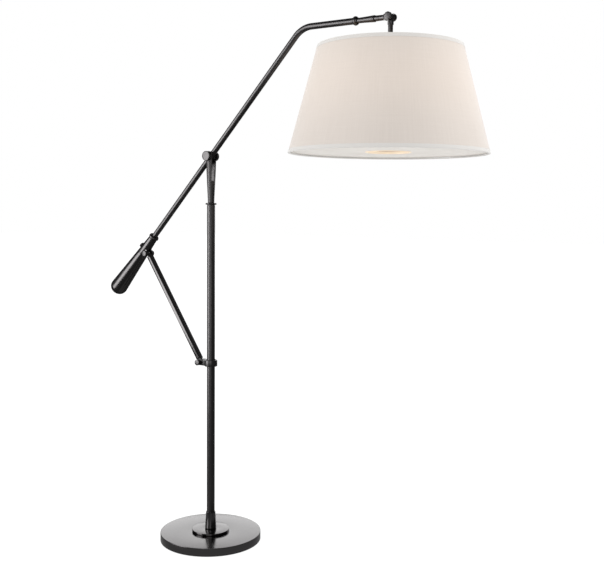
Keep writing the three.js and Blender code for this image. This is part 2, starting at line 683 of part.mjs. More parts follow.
// The bar's long edges are broken, and each end is thinned to a round tongue for its pin.
function makeStrut() {
  const wide = STRUT_WIDTH / 2;
  const deep = STRUT_DEPTH / 2;
  const edge = 0.8;
  const section = new THREE.Shape([
    [-deep + edge, -wide], [deep - edge, -wide], [deep, -wide + edge], [deep, wide - edge],
    [deep - edge, wide], [-deep + edge, wide], [-deep, wide - edge], [-deep, -wide + edge],
  ].map(([x, y]) => new THREE.Vector2(x, y)));
  const length = STRUT_LENGTH - 2 * STRUT_SHOULDER;
  const bar = new THREE.ExtrudeGeometry(section, { depth: length, bevelEnabled: false });
  bar.rotateY(Math.PI / 2);
  bar.translate(STRUT_SHOULDER, 0, 0);
  const thin = EAR_INNER - 0.4;
  const tongueHalf = TONGUE_RADIUS - 1.5;
  const tongue = plate([
    ...arc([0, 0], [TONGUE_RADIUS, TONGUE_RADIUS], 53, 307, 12),
    [STRUT_LENGTH / 2, -tongueHalf + 0.4],
    [STRUT_LENGTH / 2, tongueHalf - 0.4],
  ], -thin, thin);
  const otherTongue = tongue.clone();
  otherTongue.rotateY(Math.PI);
  otherTongue.translate(STRUT_LENGTH, 0, 0);
  const pinHole = rod(STRUT_PIN_RADIUS + GAP, -20, 20, 'y');
  const otherHole = pinHole.clone();
  otherHole.translate(STRUT_LENGTH, 0, 0);
  part(strut, 'strut_bar', cut(join(bar, tongue, otherTongue), pinHole, otherHole), bronze);
}

function makeCollar() {
  const half = COLLAR_TALL / 2;
  const bore = POLE_RADIUS + COLLAR_CLEARANCE;
  const band = rod(COLLAR_RADIUS, -half, half, 'z', TUBE_SIDES, 1);
  const ears = earShape([COLLAR_PIN_X, 0], [-12, 0], EAR_RADIUS, -EAR_OUTER, EAR_OUTER);
  const slot = block([-60, -EAR_INNER, -20], [-COLLAR_RADIUS - 1.6, EAR_INNER, 20]);
  const pinHole = rod(STRUT_PIN_RADIUS + GAP, -20, 20, 'y');
  pinHole.translate(COLLAR_PIN_X, 0, 0);
  const linerHole = rod(bore + LINER_WALL + GAP, -half - 5, half + 5, 'z', TUBE_SIDES);
  part(collar, 'pole_collar', cut(join(band, ears), slot, pinHole, linerHole), bronze);
  part(collar, 'collar_liner', ring(bore, bore + LINER_WALL, -half, half, 'z', TUBE_SIDES), nylon);
  makeStrutPin(collar, 'lower', [COLLAR_PIN_X, 0]);
}

const LINER_WALL = 1.6;

// ---- Shade --------------------------------------------------------------------------------

const SHADE_SLOPE = (SHADE_BOTTOM_RADIUS - SHADE_TOP_RADIUS) / (SHADE_TOP - SHADE_BOTTOM);
const outerRadius = (height) => SHADE_TOP_RADIUS + SHADE_SLOPE * (SHADE_TOP - height);
const innerRadius = (height) => outerRadius(height) - SHADE_WALL;
const WALL_BOTTOM = SHADE_BOTTOM + 1;
const WALL_TOP = SHADE_TOP - 1;

// A hoop of fabric tape round the outside of the shade.
function trimShape(low, high) {
  const clear = 0.4;
  return turned([
    [outerRadius(low) + clear, low],
    [outerRadius(low) + clear + TRIM_THICKNESS, low],
    [outerRadius(high) + clear + TRIM_THICKNESS, high],
    [outerRadius(high) + clear, high],
    [outerRadius(low) + clear, low],
  ], 'z', SHADE_SIDES);
}

function hoopShape(height) {
  const middle = innerRadius(height) - WIRE_RADIUS - 1;
  const outline = arc([middle, height], [WIRE_RADIUS, WIRE_RADIUS], 0, 360, 6);
  outline[outline.length - 1] = outline[0];
  return { middle, geometry: turned(outline, 'z', SHADE_SIDES) };
}

function makeShadeCover() {
  part(shade, 'shade_fabric', turned([
    [innerRadius(WALL_BOTTOM), WALL_BOTTOM],
    [outerRadius(WALL_BOTTOM), WALL_BOTTOM],
    [outerRadius(WALL_TOP), WALL_TOP],
    [innerRadius(WALL_TOP), WALL_TOP],
    [innerRadius(WALL_BOTTOM), WALL_BOTTOM],
  ], 'z', SHADE_SIDES), linen);
  part(shade, 'shade_bottom_trim', trimShape(SHADE_BOTTOM, SHADE_BOTTOM + TRIM_HEIGHT), linen);
  part(shade, 'shade_top_trim', trimShape(SHADE_TOP - TRIM_HEIGHT, SHADE_TOP), linen);
}

function makeShadeFrame() {
  const bottomHoop = hoopShape(SHADE_BOTTOM + 3.4);
  part(shade, 'shade_bottom_hoop', bottomHoop.geometry, steel);
  const topHoopHeight = SHADE_TOP - 6;
  const topHoop = hoopShape(topHoopHeight);
  const hubHeight = STEM_BOTTOM - 4;
  let spider = ring(HUB_BORE, 13, hubHeight - 2.5, hubHeight + 2.5, 'z');
  const spokeRadius = 2.4;
  part(shade, 'shade_top_hoop', topHoop.geometry, steel);
  const spokeStart = 8;
  const run = topHoop.middle - spokeStart;
  const rise = topHoopHeight - hubHeight;
  const weldGap = 0.9;
  const spokeLength = Math.hypot(run, rise) - WIRE_RADIUS - weldGap;
  for (const heading of [90, 210, 330]) {
    const spoke = rod(spokeRadius, 0, spokeLength, 'x', 8);
    spoke.rotateY(-Math.atan2(rise, run));
    spoke.translate(spokeStart, 0, hubHeight);
    spoke.rotateZ(THREE.MathUtils.degToRad(heading));
    spider = join(spider, spoke);
  }
  const hubBore = rod(HUB_BORE, hubHeight - 20, hubHeight + 20, 'z');
  part(shade, 'shade_spider', cut(spider, hubBore), steel);

  const diffuserLow = SHADE_BOTTOM + 3.4 + WIRE_RADIUS + GAP;
  const diffuserHigh = diffuserLow + 2.5;
  const rim = innerRadius(diffuserLow) - 1.2;
  part(shade, 'diffuser', ring(DIFFUSER_HOLE, rim, diffuserLow, diffuserHigh, 'z', SHADE_SIDES), acrylic);
  const lip = diffuserLow - GAP;
  const hub = DIFFUSER_HOLE - 0.6;
  part(shade, 'diffuser_ring', turned([
    [hub - 2, lip - 1.6],
    [hub + 4, lip - 1.6],
    [hub + 4, lip],
    [hub, lip],
    [hub, diffuserHigh + 2],
    [hub - 2, diffuserHigh + 2],
    [hub - 2, lip - 1.6],
  ], 'z', SHADE_SIDES), champagne);
}

const HUB_BORE = 5.4;
const NIPPLE_RADIUS = 5;
const STEM_BORE = 3.2;
const CUP_TOP = STEM_BOTTOM - 8;
const SHELL_TOP = CUP_TOP - 28;
const SHELL_BOTTOM = SHELL_TOP - 46;

// A flat eye between the end fork's cheeks, then a round stem, then a thin nipple for the socket.
function makeStem() {
  const pinZ = TOP_HEIGHT;
  const eyeHalf = END_SLOT / 2 - 0.4;
  const eye = plate([
    [-STEM_RADIUS, pinZ - 22],
    [STEM_RADIUS, pinZ - 22],
    ...arc([0, pinZ], [STEM_RADIUS, STEM_RADIUS], 0, 180, 12),
  ], -eyeHalf, eyeHalf);
  const stem = turned([
    [0, CUP_TOP - 14],
    [NIPPLE_RADIUS, CUP_TOP - 14],
    [NIPPLE_RADIUS, STEM_BOTTOM],
    [STEM_RADIUS, STEM_BOTTOM],
    [STEM_RADIUS, pinZ - 20],
    [STEM_RADIUS - 1, pinZ - 19],
    [0, pinZ - 19],
  ], 'z');
  const pinHole = rod(END_PIN_RADIUS + GAP, -20, 20, 'y');
  pinHole.translate(0, 0, pinZ);
  const bore = rod(STEM_BORE, CUP_TOP - 20, pinZ - 12, 'z');
  const mouth = block([-20, -STEM_BORE, pinZ - 16], [0, STEM_BORE, pinZ - 10]);
  part(shade, 'shade_stem', cut(join(stem, eye), pinHole, bore, mouth), bronze);
  part(shade, 'stem_cable', rod(CABLE_RADIUS, CUP_TOP - 20, pinZ - 14, 'z', CABLE_SIDES), rubber);
}

function makeSocket() {
  const wall = 1.2;
  part(shade, 'socket_cup', turned([
    [HUB_BORE, CUP_TOP - 3],
    [10, CUP_TOP - 3],
    [SOCKET_RADIUS - wall, CUP_TOP - 14],
    [SOCKET_RADIUS - wall, SHELL_TOP + GAP],
    [SOCKET_RADIUS, SHELL_TOP + GAP],
    [SOCKET_RADIUS, CUP_TOP - 13],
    [11, CUP_TOP],
    [HUB_BORE, CUP_TOP],
    [HUB_BORE, CUP_TOP - 3],
  ], 'z', TUBE_SIDES), brass);
  const capBore = BULB_CAP_RADIUS + 0.6;
  const shell = turned([
    [0, SHELL_TOP],
    [0, SHELL_TOP - 10],
    [capBore, SHELL_TOP - 10],
    [capBore, SHELL_BOTTOM],
    [SOCKET_RADIUS, SHELL_BOTTOM],
    [SOCKET_RADIUS, SHELL_TOP],
    [0, SHELL_TOP],
  ], 'z', TUBE_SIDES);
  const switchHole = rod(2.4, capBore + 2, SOCKET_RADIUS + 5, '-y');
  switchHole.translate(0, 0, SWITCH_HEIGHT);
  part(shade, 'socket_shell', cut(shell, switchHole), brass);
  const knob = turned([
    [0, capBore + 3],
    [2, capBore + 3],
    [2, SOCKET_RADIUS + 5],
    [4.6, SOCKET_RADIUS + 5],
    [5, SOCKET_RADIUS + 6],
    [4.4, SOCKET_RADIUS + 20],
    [3.6, SOCKET_RADIUS + 21],
    [0, SOCKET_RADIUS + 21],
  ], '-y');
  knob.translate(0, 0, SWITCH_HEIGHT);
  part(shade, 'switch_knob', knob, rubber);
}

const BULB_CAP_RADIUS = 13;
const SWITCH_HEIGHT = SHELL_TOP - 22;

function makeBulb() {
  const capTop = SHELL_TOP - 11;
  const capBottom = SHELL_BOTTOM + 6;
  part(shade, 'bulb_cap', rod(BULB_CAP_RADIUS, capBottom, capTop, 'z', SMALL_SIDES, 2), brass);
  const neck = BULB_CAP_RADIUS - 0.4;
  const globe = BULB_BOTTOM + BULB_RADIUS;
  const widest = arc([0, globe], [BULB_RADIUS, BULB_RADIUS], -90, 20, 10);
  part(shade, 'bulb_glass', turned([
    ...widest.map(([radius, height]) => [Math.max(radius, 0), height]),
    [24, globe + 32],
    [16, globe + 48],
    [neck, globe + 58],
    [neck, capBottom - GAP],
    [0, capBottom - GAP],
  ], 'z'), glass);
}

makeBase();
makePoleFixings();
makePole();
makeFork();
makePivot();
makeArmTube();
makeArmEnd();
makeWeight();
makeStrut();
makeCollar();
makeShadeCover();
makeShadeFrame();
makeStem();
makeSocket();
makeBulb();

export default lamp;
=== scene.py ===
"""Adjustable arm floor lamp: finished pieces, finishes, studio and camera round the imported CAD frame.

Sizes are in millimetres, and turned to metres where a mesh is made. +X is the way the arm reaches,
+Z is up, and the clamp knobs are on the -Y side.
"""

from math import atan2, cos, hypot, pi, radians, sin, tan

import bpy
from mathutils import Matrix, Vector


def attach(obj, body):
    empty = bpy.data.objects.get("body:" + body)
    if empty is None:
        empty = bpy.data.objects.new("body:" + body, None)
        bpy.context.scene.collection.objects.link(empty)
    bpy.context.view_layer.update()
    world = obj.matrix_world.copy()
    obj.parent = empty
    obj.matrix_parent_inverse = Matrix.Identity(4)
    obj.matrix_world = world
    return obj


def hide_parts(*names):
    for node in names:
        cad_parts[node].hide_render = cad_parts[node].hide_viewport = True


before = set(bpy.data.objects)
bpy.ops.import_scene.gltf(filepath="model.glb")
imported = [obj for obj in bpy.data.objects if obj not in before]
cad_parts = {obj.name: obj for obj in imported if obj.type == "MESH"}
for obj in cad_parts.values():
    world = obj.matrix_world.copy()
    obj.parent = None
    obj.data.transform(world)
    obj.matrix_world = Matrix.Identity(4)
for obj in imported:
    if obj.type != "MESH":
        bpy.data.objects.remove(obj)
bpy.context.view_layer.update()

MM = 0.001

# ---- Sizes shared by several pieces, in millimetres ------------------------------------------

# Left between neighbouring pieces.
GAP = 0.3
# Radius of the holes for the small pins, and half the width of the slots that hold tongues.
PIN_HOLE = 3.3
SLOT_HALF = 6.2
PIVOT_Z = 1356.0
ARM_ANGLE = radians(47)
ARM_RADIUS = 10.1
ARM_TO_BEND = 544.0
BEND_RADIUS = 82.0
TUBE_TAIL = 636.0
TOP_ARM_Z = PIVOT_Z + ARM_TO_BEND * sin(ARM_ANGLE)
REACH = 688.0
NECK_START = 568.0
NECK_END = 636.0
POLE_TOP = 1189.0
LUG_STATION = 452.0
LUG_OFFSET = 22.0
COLLAR_Z = 635.0
COLLAR_PIN_X = -43.0
SHADE_BOTTOM = 1346.8
SHADE_TOP = 1666.8
SHADE_BOTTOM_RADIUS = 304.8
SHADE_TOP_RADIUS = 219.0
WIRE_RADIUS = 2
HOOP_RISE = 3.4
HUB_HEIGHT = 1645.0
SOCKET_TOP = 1641.0
SHELL_TOP = SOCKET_TOP - 28
SHELL_LOW = SHELL_TOP - 46
BULB_RADIUS = 33.5
BULB_LOW = 1452
# The bulb's warm light on the cover is strongest at this height, and fades over this reach.
GLOW_HEIGHT = 1560.0
GLOW_REACH = 130.0
SHADE_SLOPE = (SHADE_BOTTOM_RADIUS - SHADE_TOP_RADIUS) / (SHADE_TOP - SHADE_BOTTOM)

# Frames that pieces are turned in, and then set down in. A piece's own +Z is its axis.
UPRIGHT = Matrix.Identity(4)
NEAR = Matrix.Rotation(radians(90), 4, "X")
FAR = Matrix.Rotation(radians(-90), 4, "X")
LEVEL = Matrix.Rotation(radians(90), 4, "Y")


def at(x, y, z):
    return Matrix.Translation(Vector((x, y, z)) * MM)


ALONG_ARM = at(0, 0, PIVOT_Z) @ Matrix.Rotation(radians(90) - ARM_ANGLE, 4, "Y")
ALONG_TOP = at(0, 0, TOP_ARM_Z) @ LEVEL
LUG_X = -LUG_STATION * cos(ARM_ANGLE) + LUG_OFFSET * sin(ARM_ANGLE)
LUG_Z = PIVOT_Z - LUG_STATION * sin(ARM_ANGLE) - LUG_OFFSET * cos(ARM_ANGLE)
STRUT_LENGTH = hypot(LUG_X - COLLAR_PIN_X, LUG_Z - COLLAR_Z)
STRUT_HEADING = atan2(LUG_Z - COLLAR_Z, LUG_X - COLLAR_PIN_X)


# ---- Finishes --------------------------------------------------------------------------------


class Value:
    """A number, colour or vector inside a finish, so that shader maths reads as maths."""

    def __init__(self, finish, socket):
        self.finish = finish
        self.socket = socket

    def _math(self, operation, first, second):
        return self.finish.node("ShaderNodeMath", {"operation": operation}, {0: first, 1: second})

    def __add__(self, other):
        return self._math("ADD", self, other)

    __radd__ = __add__

    def __sub__(self, other):
        return self._math("SUBTRACT", self, other)

    def __rsub__(self, other):
        return self._math("SUBTRACT", other, self)

    def __mul__(self, other):
        return self._math("MULTIPLY", self, other)

    __rmul__ = __mul__

    def __truediv__(self, other):
        return self._math("DIVIDE", self, other)


class Finish:
    """A material made from nodes."""

    def __init__(self, name):
        self.material = bpy.data.materials.new(name)
        self.material.use_nodes = True
        self.tree = self.material.node_tree
        self.tree.nodes.clear()

    def node(self, kind, settings=None, sockets=None, out=0):
        made = self.tree.nodes.new(kind)
        for key, setting in (settings or {}).items():
            setattr(made, key, setting)
        for key, given in (sockets or {}).items():
            if isinstance(given, Value):
                self.tree.links.new(given.socket, made.inputs[key])
            else:
                made.inputs[key].default_value = given
        return Value(self, made.outputs[out]) if len(made.outputs) else None

    def place(self):
        return self.node("ShaderNodeTexCoord", out="Object")

    def noise(self, where, scale, detail=2.0, roughness=0.5):
        sockets = {"Vector": where, "Scale": scale, "Detail": detail, "Roughness": roughness}
        return self.node("ShaderNodeTexNoise", {}, sockets, out="Fac")

    def stretched(self, where, scale):
        """The place with each axis multiplied, for a pattern that is longer one way."""
        sockets = {0: where, 1: scale}
        return self.node("ShaderNodeVectorMath", {"operation": "MULTIPLY"}, sockets)

    def blend(self, share, first, second):
        """Two colours mixed by share."""
        sockets = {"Factor": share, "A": first, "B": second}
        return self.node("ShaderNodeMix", {"data_type": "RGBA"}, sockets, out=2)

    def bump(self, height, strength, distance):
        sockets = {"Height": height, "Strength": strength, "Distance": distance * MM}
        return self.node("ShaderNodeBump", {}, sockets)

    def round_the_axis(self, where, x):
        """Distance round an upright axis, in metres at one metre's radius, and height."""
        parts = self.tree.nodes.new("ShaderNodeSeparateXYZ")
        self.tree.links.new(where.socket, parts.inputs[0])
        across = Value(self, parts.outputs[0]) - x * MM
        away = Value(self, parts.outputs[1])
        turn = self.node("ShaderNodeMath", {"operation": "ARCTAN2"}, {0: away, 1: across})
        return turn, Value(self, parts.outputs[2])

    def join(self, x, y, z):
        return self.node("ShaderNodeCombineXYZ", {}, {0: x, 1: y, 2: z})

    def surface(self, **sockets):
        named = {key.replace("_", " "): given for key, given in sockets.items()}
        shader = self.node("ShaderNodeBsdfPrincipled", {}, named)
        self.node("ShaderNodeOutputMaterial", {}, {"Surface": shader})
        return self.material


def grey(value):
    return (value, value, value, 1)


def bronze_finish(name, rings=0.0, grain=(1, 1, 1), roughness=0.30):
    """Near-black satin bronze. Rings is the turning marks' depth, and grain stretches the mottle."""
    finish = Finish(name)
    where = finish.place()
    mottle = finish.noise(finish.stretched(where, grain), 26, 4, 0.6)
    fine = finish.noise(where, 650, 2)
    colour = finish.blend(mottle, (0.080, 0.077, 0.078, 1), (0.112, 0.108, 0.109, 1))
    rough = mottle * 0.06 + fine * 0.02 + roughness
    height = fine * 0.15
    if rings:
        marks = finish.node(
            "ShaderNodeTexWave",
            {"wave_type": "RINGS", "rings_direction": "Z", "wave_profile": "SIN"},
            {"Vector": where, "Scale": 38, "Distortion": 0.8, "Detail": 2.0, "Detail Scale": 0.6},
            out="Fac",
        )
        height = height + marks * rings
        rough = rough + marks * 0.05
        colour = finish.blend(marks * 0.35, colour, (0.15, 0.146, 0.147, 1))
    normal = finish.bump(height, 0.06, 0.05)
    return finish.surface(Base_Color=colour, Metallic=1.0, Roughness=rough, Normal=normal)


def plain_metal_finish(name, first, second, roughness):
    finish = Finish(name)
    where = finish.place()
    cloud = finish.noise(where, 90, 3)
    scratch = finish.noise(finish.stretched(where, (1, 1, 14)), 160, 2)
    colour = finish.blend(cloud, first, second)
    rough = cloud * 0.12 + scratch * 0.08 + roughness
    normal = finish.bump(scratch, 0.15, 0.02)
    return finish.surface(Base_Color=colour, Metallic=1.0, Roughness=rough, Normal=normal)


def moulded_finish(name, first, second, roughness, scale=300):
    finish = Finish(name)
    where = finish.place()
    grain = finish.noise(where, scale, 4, 0.6)
    colour = finish.blend(grain, first, second)
    normal = finish.bump(grain, 0.3, 0.05)
    return finish.surface(Base_Color=colour, Roughness=grain * 0.15 + roughness, Normal=normal)


def felt_finish():
    finish = Finish("pressed_felt")
    where = finish.place()
    fibres = finish.noise(finish.stretched(where, (1, 3, 1)), 700, 5, 0.7)
    colour = finish.blend(fibres, grey(0.012), grey(0.035))
    normal = finish.bump(fibres, 0.8, 0.25)
    return finish.surface(Base_Color=colour, Roughness=0.95, Normal=normal, Sheen_Weight=0.4)


def cloth_finish(name, first, second, threads, slub, sheen, glow):
    """Woven cloth wrapped round the shade's axis. Threads is how many cross a metre, and slub how
    much the thicker ones show."""
    finish = Finish(name)
    turn, height = finish.round_the_axis(finish.place(), REACH)
    along = turn * ((SHADE_BOTTOM_RADIUS + SHADE_TOP_RADIUS) / 2 * MM)
    warp = finish.node("ShaderNodeMath", {"operation": "SINE"}, {0: along * (threads * pi)})
    weft = finish.node("ShaderNodeMath", {"operation": "SINE"}, {0: height * (threads * pi)})
    weave = warp * weft
    thick_weft = finish.noise(finish.join(along * 9, height * 260, 0.0), 1.0, 3, 0.65)
    thick_warp = finish.noise(finish.join(along * 260, height * 9, 4.0), 1.0, 3, 0.65)
    slubs = thick_weft * 0.45 + thick_warp * 0.55
    cloud = finish.noise(finish.join(along * 5, height * 5, 9.0), 1.0, 2)
    shade = slubs * slub + cloud * 0.25 + weave * 0.06
    colour = finish.blend(shade, first, second)
    # Painted light: the emission paints a warm glow for the bulb's light through the cloth. It is
    # strongest at GLOW_HEIGHT, fades over GLOW_REACH, and leaves a faint even glow everywhere else.
    rise = (height - GLOW_HEIGHT * MM) / (GLOW_REACH * MM)
    lit = finish.node("ShaderNodeMath", {"operation": "EXPONENT"}, {0: rise * rise * -1.0})
    painted_glow_colour = finish.blend(lit, (0.10, 0.095, 0.09, 1), (1.0, 0.72, 0.50, 1))
    normal = finish.bump(weave * 0.35 + slubs, 0.22, 0.25)
    return finish.surface(
        Base_Color=colour,
        Roughness=0.9,
        Normal=normal,
        Sheen_Weight=sheen,
        Sheen_Roughness=0.35,
        Emission_Color=painted_glow_colour,
        Emission_Strength=glow,
        Specular_IOR_Level=0.15,
    )


def painted_glow_ring_finish():
    """Pale champagne lacquer with a painted warm glow, an emission that stands in for the bulb's light
    on it.
    """
    finish = Finish("champagne_ring_painted_glow")
    where = finish.place()
    cloud = finish.noise(where, 60, 3)
    fine = finish.noise(where, 500, 2)
    return finish.surface(
        Base_Color=finish.blend(cloud, (0.70, 0.58, 0.44, 1), (0.80, 0.69, 0.55, 1)),
        Roughness=fine * 0.1 + 0.4,
        Metallic=0.2,
        Normal=finish.bump(fine, 0.1, 0.02),
        # Painted light: this emission makes the ring glow as if lit by the bulb.
        Emission_Color=(1.0, 0.82, 0.62, 1),
        Emission_Strength=0.36,
    )


def acrylic_finish():
    finish = Finish("opal_acrylic")
    where = finish.place()
    cloud = finish.noise(where, 14, 3)
    fine = finish.noise(where, 600, 2)
    colour = finish.blend(cloud, (0.74, 0.70, 0.65, 1), (0.82, 0.78, 0.73, 1))
    normal = finish.bump(fine, 0.08, 0.02)
    return finish.surface(
        Base_Color=colour,
        Roughness=fine * 0.1 + 0.42,
        Normal=normal,
        # Painted light: a faint warm glow that stands in for the bulb's light through the disc.
        Emission_Color=(1, 0.93, 0.84, 1),
        Emission_Strength=0.06,
    )


def bulb_finish():
    finish = Finish("frosted_bulb")
    where = finish.place()
    frost = finish.noise(where, 500, 3)
    cloud = finish.noise(where, 30, 2)
    colour = finish.blend(cloud, (0.95, 0.88, 0.76, 1), (1.0, 0.95, 0.86, 1))
    return finish.surface(
        Base_Color=colour,
        Roughness=frost * 0.2 + 0.25,
        Normal=finish.bump(frost, 0.1, 0.02),
        Emission_Color=(1.0, 0.78, 0.48, 1),
        Emission_Strength=3.0,
    )


bronze = bronze_finish("satin_bronze")
polished_bronze = bronze_finish("polished_bronze", roughness=0.21)
turned_bronze = bronze_finish("turned_bronze", rings=3.0, roughness=0.11)
drawn_bronze = bronze_finish("drawn_bronze", grain=(3, 3, 0.25), roughness=0.36)
cast_bronze = bronze_finish("cast_bronze", roughness=0.42)
strut_bronze = bronze_finish("strut_bronze", grain=(0.3, 3, 0.3), roughness=0.15)
zinc = plain_metal_finish("zinc_steel", (0.42, 0.42, 0.43, 1), (0.58, 0.58, 0.59, 1), 0.28)
brass = plain_metal_finish("lacquered_brass", (0.48, 0.33, 0.14, 1), (0.62, 0.45, 0.22, 1), 0.26)
cap_metal = plain_metal_finish("nickelled_cap", (0.5, 0.45, 0.36, 1), (0.62, 0.57, 0.47, 1), 0.25)
nylon = moulded_finish("black_nylon", grey(0.018), grey(0.03), 0.5)
rubber = moulded_finish("black_rubber", grey(0.012), grey(0.022), 0.7)
sheath = moulded_finish("cable_sheath", grey(0.012), grey(0.02), 0.55, 160)
black_plastic = moulded_finish("black_plastic", grey(0.008), grey(0.014), 0.25, 500)
felt = felt_finish()
# The last number in each is the strength of the painted glow on the cloth.
linen = cloth_finish(
    "woven_linen", (0.565, 0.51, 0.465, 1), (0.70, 0.645, 0.60, 1), 1300, 0.75, 0.5, 0.09
)
tape = cloth_finish(
    "hem_tape", (0.62, 0.60, 0.575, 1), (0.70, 0.685, 0.665, 1), 1900, 0.4, 0.5, 0.03
)
ring_lacquer_painted_glow = painted_glow_ring_finish()
acrylic = acrylic_finish()
frosted = bulb_finish()


# ---- Modelling -------------------------------------------------------------------------------


def deselect():
    if bpy.context.object and bpy.context.object.mode != "OBJECT":
        bpy.ops.object.mode_set(mode="OBJECT")
    bpy.ops.object.select_all(action="DESELECT")


def choose(piece):
    deselect()
    piece.select_set(True)
    bpy.context.view_layer.objects.active = piece


def set_down(piece, place):
    """Puts the piece where place says, and moves that into its mesh."""
    choose(piece)
    piece.matrix_world = place
    bpy.ops.object.transform_apply(location=True, rotation=True, scale=True)
    return piece


def round_edges(piece, width, segments=3, limit=35):
    choose(piece)
    bpy.ops.object.modifier_add(type="BEVEL")
    bevel = piece.modifiers[-1]
    bevel.width = width * MM
    bevel.segments = segments
    bevel.limit_method = "ANGLE"
    bevel.angle_limit = radians(limit)
    bevel.use_clamp_overlap = True
    bpy.ops.object.modifier_apply(modifier=bevel.name)


def lathe(outline, place=UPRIGHT, steps=64, edge=0.0, segments=3):
    """Turns a piece on its own Z: a point is drawn along the outline of (radius, height) and spun."""
    deselect()
    first = Vector((outline[0][0], 0, outline[0][1])) * MM
    bpy.ops.mesh.primitive_plane_add(size=MM, location=first)
    piece = bpy.context.object
    bpy.ops.object.transform_apply(location=True, rotation=True, scale=True)
    bpy.ops.object.mode_set(mode="EDIT")
    bpy.ops.mesh.select_mode(type="VERT")
    bpy.ops.mesh.select_all(action="SELECT")
    bpy.ops.mesh.merge(type="CENTER")
    here = outline[0]
    for there in outline[1:]:
        step = ((there[0] - here[0]) * MM, 0, (there[1] - here[1]) * MM)
        bpy.ops.mesh.extrude_vertices_move(TRANSFORM_OT_translate={"value": step})
        here = there
    bpy.ops.mesh.select_all(action="SELECT")
    bpy.ops.mesh.spin(steps=steps, angle=2 * pi, center=(0, 0, 0), axis=(0, 0, 1))
    bpy.ops.mesh.select_all(action="SELECT")
    bpy.ops.mesh.remove_doubles(threshold=2e-6)
    bpy.ops.mesh.normals_make_consistent(inside=False)
    bpy.ops.object.mode_set(mode="OBJECT")
    if edge:
        round_edges(piece, edge, segments)
    return set_down(piece, place)


def slab(low, high, edge=0.0, place=UPRIGHT):
    """A squared block between two corners, with its edges rounded."""
    deselect()
    middle = [(a + b) / 2 * MM for a, b in zip(low, high)]
    size = [(b - a) * MM for a, b in zip(low, high)]
    bpy.ops.mesh.primitive_cube_add(size=1, location=middle, scale=size)
    piece = bpy.context.object
    bpy.ops.object.transform_apply(location=True, rotation=True, scale=True)
    if edge:
        round_edges(piece, edge)
    return set_down(piece, place)


def round_end(piece, along, reach, radius, segments=12):
    """Rounds the two edges along Y at the block's end that lies furthest along one of its axes."""
    choose(piece)
    mesh = piece.data
    bpy.ops.object.mode_set(mode="EDIT")
    bpy.ops.mesh.select_mode(type="EDGE")
    bpy.ops.mesh.select_all(action="DESELECT")
    bpy.ops.object.mode_set(mode="OBJECT")
    for edge in mesh.edges:
        ends = [mesh.vertices[i].co for i in edge.vertices]
        lies_along_y = abs(ends[0].y - ends[1].y) > 1e-4
        if lies_along_y and all(abs(end[along] - reach * MM) < 1e-5 for end in ends):
            edge.select = True
    bpy.ops.object.mode_set(mode="EDIT")
    bpy.ops.mesh.bevel(offset=radius * MM, segments=segments, clamp_overlap=True)
    bpy.ops.mesh.remove_doubles(threshold=1e-5)
    bpy.ops.object.mode_set(mode="OBJECT")


def combine(piece, tool, operation):
    choose(piece)
    bpy.ops.object.modifier_add(type="BOOLEAN")
    boolean = piece.modifiers[-1]
    boolean.operation = operation
    boolean.solver = "EXACT"
    boolean.object = tool
    bpy.ops.object.modifier_apply(modifier=boolean.name)
    bpy.data.objects.remove(tool)


def cut(piece, *tools):
    for tool in tools:
        combine(piece, tool, "DIFFERENCE")


def weld(piece, *others):
    for other in others:
        combine(piece, other, "UNION")


def pin_tool(radius, low, high, place=UPRIGHT, steps=32):
    return lathe([(0, low), (radius, low), (radius, high), (0, high)], place, steps)


def arc(centre, size, start, end, steps):
    """Points on part of an ellipse in an outline, from one angle to another in degrees."""
    turns = [radians(start + (end - start) * i / steps) for i in range(steps + 1)]
    return [(centre[0] + size[0] * cos(t), centre[1] + size[1] * sin(t)) for t in turns]


def finished(piece, name, body, nodes, finish, smooth=32):
    """Names a piece, gives it its finish, and lets it stand for its CAD nodes on their body."""
    choose(piece)
    piece.name = name
    piece.data.name = name
    piece.data.materials.clear()
    piece.data.materials.append(finish)
    bpy.ops.object.shade_smooth_by_angle(angle=radians(smooth))
    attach(piece, body)
    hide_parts(*nodes)


def dress(finish, *nodes):
    """Gives CAD nodes that stay their finish."""
    for name in nodes:
        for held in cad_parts[name].material_slots:
            held.material = finish


# ---- Camera and studio -----------------------------------------------------------------------


def set_camera():
    right = Vector((0.8355226, 0.54936462, 0.01002459))
    up = Vector((-0.05637676, 0.06756597, 0.99612073))
    back = right.cross(up).normalized()
    data = bpy.data.cameras.new("camera")
    data.lens = 53.69
    data.sensor_width = 36
    data.clip_end = 50
    camera = bpy.data.objects.new("camera", data)
    turn = Matrix((right, up, back)).transposed().to_4x4()
    camera.matrix_world = Matrix.Translation((1.985714, -2.446528, 1.178)) @ turn
    bpy.context.scene.collection.objects.link(camera)
    bpy.context.scene.camera = camera


def softbox(name, where, aim, size, power, glossy=True, diffuse=True):
    data = bpy.data.lights.new(name, "AREA")
    data.shape = "RECTANGLE"
    data.size, data.size_y = size
    data.energy = power
    lamp = bpy.data.objects.new(name, data)
    lamp.location = where
    lamp.rotation_mode = "QUATERNION"
    lamp.rotation_quaternion = (Vector(aim) - Vector(where)).to_track_quat("-Z", "Y")
    lamp.visible_camera = False
    lamp.visible_glossy = glossy
    lamp.visible_diffuse = diffuse
    bpy.context.scene.collection.objects.link(lamp)


def floor_finish():
    """Pale, evenly lit paper."""
    pale = Finish("pale_floor")
    paper = pale.node("ShaderNodeBsdfDiffuse", {}, {"Color": (0.25, 0.25, 0.25, 1)})
    bright = pale.node("ShaderNodeEmission", {}, {"Strength": 0.86})
    lifted = pale.node("ShaderNodeAddShader", {}, {0: paper, 1: bright})
    pale.node("ShaderNodeOutputMaterial", {}, {"Surface": lifted})
    return pale.material


